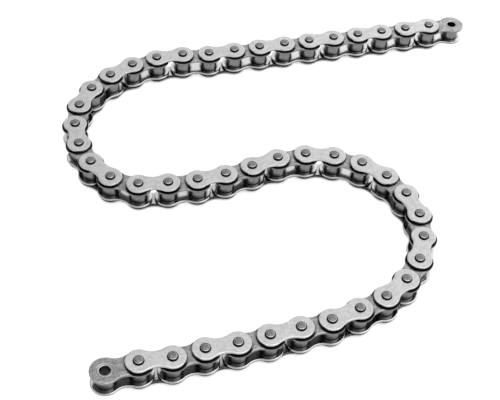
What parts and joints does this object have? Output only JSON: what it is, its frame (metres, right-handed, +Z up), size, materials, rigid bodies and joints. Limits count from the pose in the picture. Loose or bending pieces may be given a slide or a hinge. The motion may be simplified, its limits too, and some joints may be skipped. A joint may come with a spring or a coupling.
{
  "type": "roller chain",
  "caption": "Length of half-inch-pitch roller chain from a garage door opener drive, laid on its side in an S, open bush at both ends.",
  "frame": {"origin": "middle of the laid chain's footprint, on the surface that the lower pin ends rest on", "axes": "+Z up, along every pin; +X along the last straight run of the S, towards the chain's second end"},
  "size_m": [0.219, 0.1832, 0.0129],
  "materials": {
    "outer_plate": "satin bright steel",
    "inner_plate": "satin mid-grey steel",
    "pin": "dark hardened steel",
    "bush": "fine-turned steel",
    "roller": "fine-turned steel with an oil film"
  },
  "bodies": {
    "inner_link_01": {"link_01_upper_plate": "inner_plate", "link_01_lower_plate": "inner_plate", "link_01_end_bush": "bush", "link_01_joint_bush": "bush"},
    "inner_link_01_end_roller": {"link_01_end_roller": "roller"},
    "inner_link_01_joint_roller": {"link_01_joint_roller": "roller"},
    "outer_link_02": {"link_02_upper_plate": "outer_plate", "link_02_lower_plate": "outer_plate", "link_02_first_pin": "pin", "link_02_second_pin": "pin"},
    "inner_link_03": {"inner_link_03": "inner_plate"},
    "outer_link_04": {"outer_link_04": "outer_plate"},
    "inner_link_05": {"inner_link_05": "inner_plate"},
    "outer_link_06": {"outer_link_06": "outer_plate"},
    "inner_link_07": {"inner_link_07": "inner_plate"},
    "outer_link_08": {"outer_link_08": "outer_plate"},
    "inner_link_09": {"inner_link_09": "inner_plate"},
    "outer_link_10": {"outer_link_10": "outer_plate"},
    "inner_link_11": {"inner_link_11": "inner_plate"},
    "outer_link_12": {"outer_link_12": "outer_plate"},
    "inner_link_13": {"inner_link_13": "inner_plate"},
    "outer_link_14": {"outer_link_14": "outer_plate"},
    "inner_link_15": {"inner_link_15": "inner_plate"},
    "outer_link_16": {"outer_link_16": "outer_plate"},
    "inner_link_17": {"inner_link_17": "inner_plate"},
    "outer_link_18": {"outer_link_18": "outer_plate"},
    "inner_link_19": {"inner_link_19": "inner_plate"},
    "outer_link_20": {"outer_link_20": "outer_plate"},
    "inner_link_21": {"inner_link_21": "inner_plate"},
    "outer_link_22": {"outer_link_22": "outer_plate"},
    "inner_link_23": {"inner_link_23": "inner_plate"},
    "outer_link_24": {"outer_link_24": "outer_plate"},
    "inner_link_25": {"inner_link_25": "inner_plate"},
    "outer_link_26": {"outer_link_26": "outer_plate"},
    "inner_link_27": {"inner_link_27": "inner_plate"},
    "outer_link_28": {"outer_link_28": "outer_plate"},
    "inner_link_29": {"inner_link_29": "inner_plate"},
    "outer_link_30": {"outer_link_30": "outer_plate"},
    "inner_link_31": {"inner_link_31": "inner_plate"},
    "outer_link_32": {"outer_link_32": "outer_plate"},
    "inner_link_33": {"inner_link_33": "inner_plate"},
    "outer_link_34": {"outer_link_34": "outer_plate"},
    "inner_link_35": {"inner_link_35": "inner_plate"},
    "outer_link_36": {"outer_link_36": "outer_plate"},
    "inner_link_37": {"inner_link_37": "inner_plate"},
    "outer_link_38": {"outer_link_38": "outer_plate"},
    "inner_link_39": {"inner_link_39": "inner_plate"},
    "outer_link_40": {"outer_link_40": "outer_plate"},
    "inner_link_41": {"inner_link_41": "inner_plate"},
    "outer_link_42": {"outer_link_42": "outer_plate"},
    "inner_link_43": {"inner_link_43": "inner_plate"},
    "outer_link_44": {"outer_link_44": "outer_plate"},
    "inner_link_45": {"inner_link_45": "inner_plate"},
    "inner_link_03_first_roller": {"inner_link_03_first_roller": "roller"},
    "inner_link_03_second_roller": {"inner_link_03_second_roller": "roller"},
    "inner_link_05_first_roller": {"inner_link_05_first_roller": "roller"},
    "inner_link_05_second_roller": {"inner_link_05_second_roller": "roller"},
    "inner_link_45_first_roller": {"inner_link_45_first_roller": "roller"},
    "inner_link_45_second_roller": {"inner_link_45_second_roller": "roller"}
  },
  "joints": [
    {"name": "hinge_01_02", "type": "hinge", "parent": "inner_link_01", "child": "outer_link_02", "pos_m": [-0.09093, -0.08471, 0.00643], "axis": [0, 0, -1], "range_deg": [-60, 60]},
    {"name": "hinge_02_03", "type": "hinge", "parent": "outer_link_02", "child": "inner_link_03", "pos_m": [-0.07827, -0.08571, 0.00643], "axis": [0, 0, 1], "range_deg": [-60, 60]},
    {"name": "hinge_03_04", "type": "hinge", "parent": "inner_link_03", "child": "outer_link_04", "pos_m": [-0.06561, -0.08471, 0.00643], "axis": [0, 0, -1], "range_deg": [-60, 60]},
    {"name": "hinge_04_05", "type": "hinge", "parent": "outer_link_04", "child": "inner_link_05", "pos_m": [-0.05291, -0.08482, 0.00643], "axis": [0, 0, 1], "range_deg": [-60, 60]},
    {"name": "hinge_05_06", "type": "hinge", "parent": "inner_link_05", "child": "outer_link_06", "pos_m": [-0.04023, -0.08405, 0.00643], "axis": [0, 0, -1], "range_deg": [-60, 60]},
    {"name": "hinge_06_07", "type": "hinge", "parent": "outer_link_06", "child": "inner_link_07", "pos_m": [-0.02757, -0.08305, 0.00643], "axis": [0, 0, 1], "range_deg": [-60, 60]},
    {"name": "hinge_07_08", "type": "hinge", "parent": "inner_link_07", "child": "outer_link_08", "pos_m": [-0.01489, -0.08227, 0.00643], "axis": [0, 0, -1], "range_deg": [-55, 55]},
    {"name": "hinge_08_09", "type": "hinge", "parent": "outer_link_08", "child": "inner_link_09", "pos_m": [-0.0025, -0.07953, 0.00643], "axis": [0, 0, 1], "range_deg": [-45, 45]},
    {"name": "hinge_09_10", "type": "hinge", "parent": "inner_link_09", "child": "outer_link_10", "pos_m": [0.00974, -0.07613, 0.00643], "axis": [0, 0, -1], "range_deg": [-40, 40]},
    {"name": "hinge_10_11", "type": "hinge", "parent": "outer_link_10", "child": "inner_link_11", "pos_m": [0.02069, -0.06969, 0.00643], "axis": [0, 0, 1], "range_deg": [-35, 35]},
    {"name": "hinge_11_12", "type": "hinge", "parent": "inner_link_11", "child": "outer_link_12", "pos_m": [0.02974, -0.06078, 0.00643], "axis": [0, 0, -1], "range_deg": [-35, 35]},
    {"name": "hinge_12_13", "type": "hinge", "parent": "outer_link_12", "child": "inner_link_13", "pos_m": [0.0358, -0.04962, 0.00643], "axis": [0, 0, 1], "range_deg": [-30, 30]},
    {"name": "hinge_13_14", "type": "hinge", "parent": "inner_link_13", "child": "outer_link_14", "pos_m": [0.03877, -0.03727, 0.00643], "axis": [0, 0, -1], "range_deg": [-35, 35]},
    {"name": "hinge_14_15", "type": "hinge", "parent": "outer_link_14", "child": "inner_link_15", "pos_m": [0.03755, -0.02463, 0.00643], "axis": [0, 0, 1], "range_deg": [-35, 35]},
    {"name": "hinge_15_16", "type": "hinge", "parent": "inner_link_15", "child": "outer_link_16", "pos_m": [0.0329, -0.01282, 0.00643], "axis": [0, 0, -1], "range_deg": [-35, 35]},
    {"name": "hinge_16_17", "type": "hinge", "parent": "outer_link_16", "child": "inner_link_17", "pos_m": [0.02482, -0.00302, 0.00643], "axis": [0, 0, 1], "range_deg": [-45, 45]},
    {"name": "hinge_17_18", "type": "hinge", "parent": "inner_link_17", "child": "outer_link_18", "pos_m": [0.01423, 0.00399, 0.00643], "axis": [0, 0, -1], "range_deg": [-50, 50]},
    {"name": "hinge_18_19", "type": "hinge", "parent": "outer_link_18", "child": "inner_link_19", "pos_m": [0.00205, 0.0076, 0.00643], "axis": [0, 0, 1], "range_deg": [-60, 60]},
    {"name": "hinge_19_20", "type": "hinge", "parent": "inner_link_19", "child": "outer_link_20", "pos_m": [-0.01065, 0.00771, 0.00643], "axis": [0, 0, -1], "range_deg": [-60, 60]},
    {"name": "hinge_20_21", "type": "hinge", "parent": "outer_link_20", "child": "inner_link_21", "pos_m": [-0.02309, 0.00518, 0.00643], "axis": [0, 0, 1], "range_deg": [-60, 60]},
    {"name": "hinge_21_22", "type": "hinge", "parent": "inner_link_21", "child": "outer_link_22", "pos_m": [-0.03558, 0.00286, 0.00643], "axis": [0, 0, -1], "range_deg": [-60, 60]},
    {"name": "hinge_22_23", "type": "hinge", "parent": "outer_link_22", "child": "inner_link_23", "pos_m": [-0.04826, 0.00209, 0.00643], "axis": [0, 0, 1], "range_deg": [-60, 60]},
    {"name": "hinge_23_24", "type": "hinge", "parent": "inner_link_23", "child": "outer_link_24", "pos_m": [-0.06093, 0.00286, 0.00643], "axis": [0, 0, -1], "range_deg": [-50, 50]},
    {"name": "hinge_24_25", "type": "hinge", "parent": "outer_link_24", "child": "inner_link_25", "pos_m": [-0.07349, 0.00474, 0.00643], "axis": [0, 0, 1], "range_deg": [-45, 45]},
    {"name": "hinge_25_26", "type": "hinge", "parent": "inner_link_25", "child": "outer_link_26", "pos_m": [-0.08432, 0.01138, 0.00643], "axis": [0, 0, -1], "range_deg": [-35, 35]},
    {"name": "hinge_26_27", "type": "hinge", "parent": "outer_link_26", "child": "inner_link_27", "pos_m": [-0.09096, 0.02221, 0.00643], "axis": [0, 0, 1], "range_deg": [-35, 35]},
    {"name": "hinge_27_28", "type": "hinge", "parent": "inner_link_27", "child": "outer_link_28", "pos_m": [-0.09414, 0.0345, 0.00643], "axis": [0, 0, -1], "range_deg": [-30, 30]},
    {"name": "hinge_28_29", "type": "hinge", "parent": "outer_link_28", "child": "inner_link_29", "pos_m": [-0.09381, 0.0472, 0.00643], "axis": [0, 0, 1], "range_deg": [-30, 30]},
    {"name": "hinge_29_30", "type": "hinge", "parent": "inner_link_29", "child": "outer_link_30", "pos_m": [-0.08999, 0.05931, 0.00643], "axis": [0, 0, -1], "range_deg": [-30, 30]},
    {"name": "hinge_30_31", "type": "hinge", "parent": "outer_link_30", "child": "inner_link_31", "pos_m": [-0.08261, 0.06965, 0.00643], "axis": [0, 0, 1], "range_deg": [-30, 30]},
    {"name": "hinge_31_32", "type": "hinge", "parent": "inner_link_31", "child": "outer_link_32", "pos_m": [-0.07254, 0.07738, 0.00643], "axis": [0, 0, -1], "range_deg": [-35, 35]},
    {"name": "hinge_32_33", "type": "hinge", "parent": "outer_link_32", "child": "inner_link_33", "pos_m": [-0.06107, 0.08285, 0.00643], "axis": [0, 0, 1], "range_deg": [-35, 35]},
    {"name": "hinge_33_34", "type": "hinge", "parent": "inner_link_33", "child": "outer_link_34", "pos_m": [-0.04867, 0.0856, 0.00643], "axis": [0, 0, -1], "range_deg": [-40, 40]},
    {"name": "hinge_34_35", "type": "hinge", "parent": "outer_link_34", "child": "inner_link_35", "pos_m": [-0.03597, 0.08571, 0.00643], "axis": [0, 0, 1], "range_deg": [-45, 45]},
    {"name": "hinge_35_36", "type": "hinge", "parent": "inner_link_35", "child": "outer_link_36", "pos_m": [-0.02338, 0.08405, 0.00643], "axis": [0, 0, -1], "range_deg": [-50, 50]},
    {"name": "hinge_36_37", "type": "hinge", "parent": "outer_link_36", "child": "inner_link_37", "pos_m": [-0.01068, 0.08405, 0.00643], "axis": [0, 0, 1], "range_deg": [-55, 55]},
    {"name": "hinge_37_38", "type": "hinge", "parent": "inner_link_37", "child": "outer_link_38", "pos_m": [0.00202, 0.08405, 0.00643], "axis": [0, 0, -1], "range_deg": [-60, 60]},
    {"name": "hinge_38_39", "type": "hinge", "parent": "outer_link_38", "child": "inner_link_39", "pos_m": [0.01472, 0.08405, 0.00643], "axis": [0, 0, 1], "range_deg": [-60, 60]},
    {"name": "hinge_39_40", "type": "hinge", "parent": "inner_link_39", "child": "outer_link_40", "pos_m": [0.02742, 0.08405, 0.00643], "axis": [0, 0, -1], "range_deg": [-60, 60]},
    {"name": "hinge_40_41", "type": "hinge", "parent": "outer_link_40", "child": "inner_link_41", "pos_m": [0.04012, 0.08405, 0.00643], "axis": [0, 0, 1], "range_deg": [-60, 60]},
    {"name": "hinge_41_42", "type": "hinge", "parent": "inner_link_41", "child": "outer_link_42", "pos_m": [0.05282, 0.08405, 0.00643], "axis": [0, 0, -1], "range_deg": [-60, 60]},
    {"name": "hinge_42_43", "type": "hinge", "parent": "outer_link_42", "child": "inner_link_43", "pos_m": [0.06552, 0.08405, 0.00643], "axis": [0, 0, 1], "range_deg": [-60, 60]},
    {"name": "hinge_43_44", "type": "hinge", "parent": "inner_link_43", "child": "outer_link_44", "pos_m": [0.07822, 0.08405, 0.00643], "axis": [0, 0, -1], "range_deg": [-60, 60]},
    {"name": "hinge_44_45", "type": "hinge", "parent": "outer_link_44", "child": "inner_link_45", "pos_m": [0.09092, 0.08405, 0.00643], "axis": [0, 0, 1], "range_deg": [-60, 60]},
    {"name": "inner_link_01_end_roller_spin", "type": "hinge", "parent": "inner_link_01", "child": "inner_link_01_end_roller", "pos_m": [-0.10362, -0.08526, 0.00643], "axis": [0, 0, 1], "continuous": true},
    {"name": "inner_link_01_joint_roller_spin", "type": "hinge", "parent": "inner_link_01", "child": "inner_link_01_joint_roller", "pos_m": [-0.09093, -0.08471, 0.00643], "axis": [0, 0, 1], "continuous": true},
    {"name": "inner_link_03_first_roller_spin", "type": "hinge", "parent": "inner_link_03", "child": "inner_link_03_first_roller", "pos_m": [-0.07827, -0.08571, 0.00643], "axis": [0, 0, 1], "continuous": true},
    {"name": "inner_link_03_second_roller_spin", "type": "hinge", "parent": "inner_link_03", "child": "inner_link_03_second_roller", "pos_m": [-0.06561, -0.08471, 0.00643], "axis": [0, 0, 1], "continuous": true},
    {"name": "inner_link_05_first_roller_spin", "type": "hinge", "parent": "inner_link_05", "child": "inner_link_05_first_roller", "pos_m": [-0.05291, -0.08482, 0.00643], "axis": [0, 0, 1], "continuous": true},
    {"name": "inner_link_05_second_roller_spin", "type": "hinge", "parent": "inner_link_05", "child": "inner_link_05_second_roller", "pos_m": [-0.04023, -0.08405, 0.00643], "axis": [0, 0, 1], "continuous": true},
    {"name": "inner_link_45_first_roller_spin", "type": "hinge", "parent": "inner_link_45", "child": "inner_link_45_first_roller", "pos_m": [0.09092, 0.08405, 0.00643], "axis": [0, 0, 1], "continuous": true},
    {"name": "inner_link_45_second_roller_spin", "type": "hinge", "parent": "inner_link_45", "child": "inner_link_45_second_roller", "pos_m": [0.10362, 0.08405, 0.00643], "axis": [0, 0, 1], "continuous": true}
  ]
}
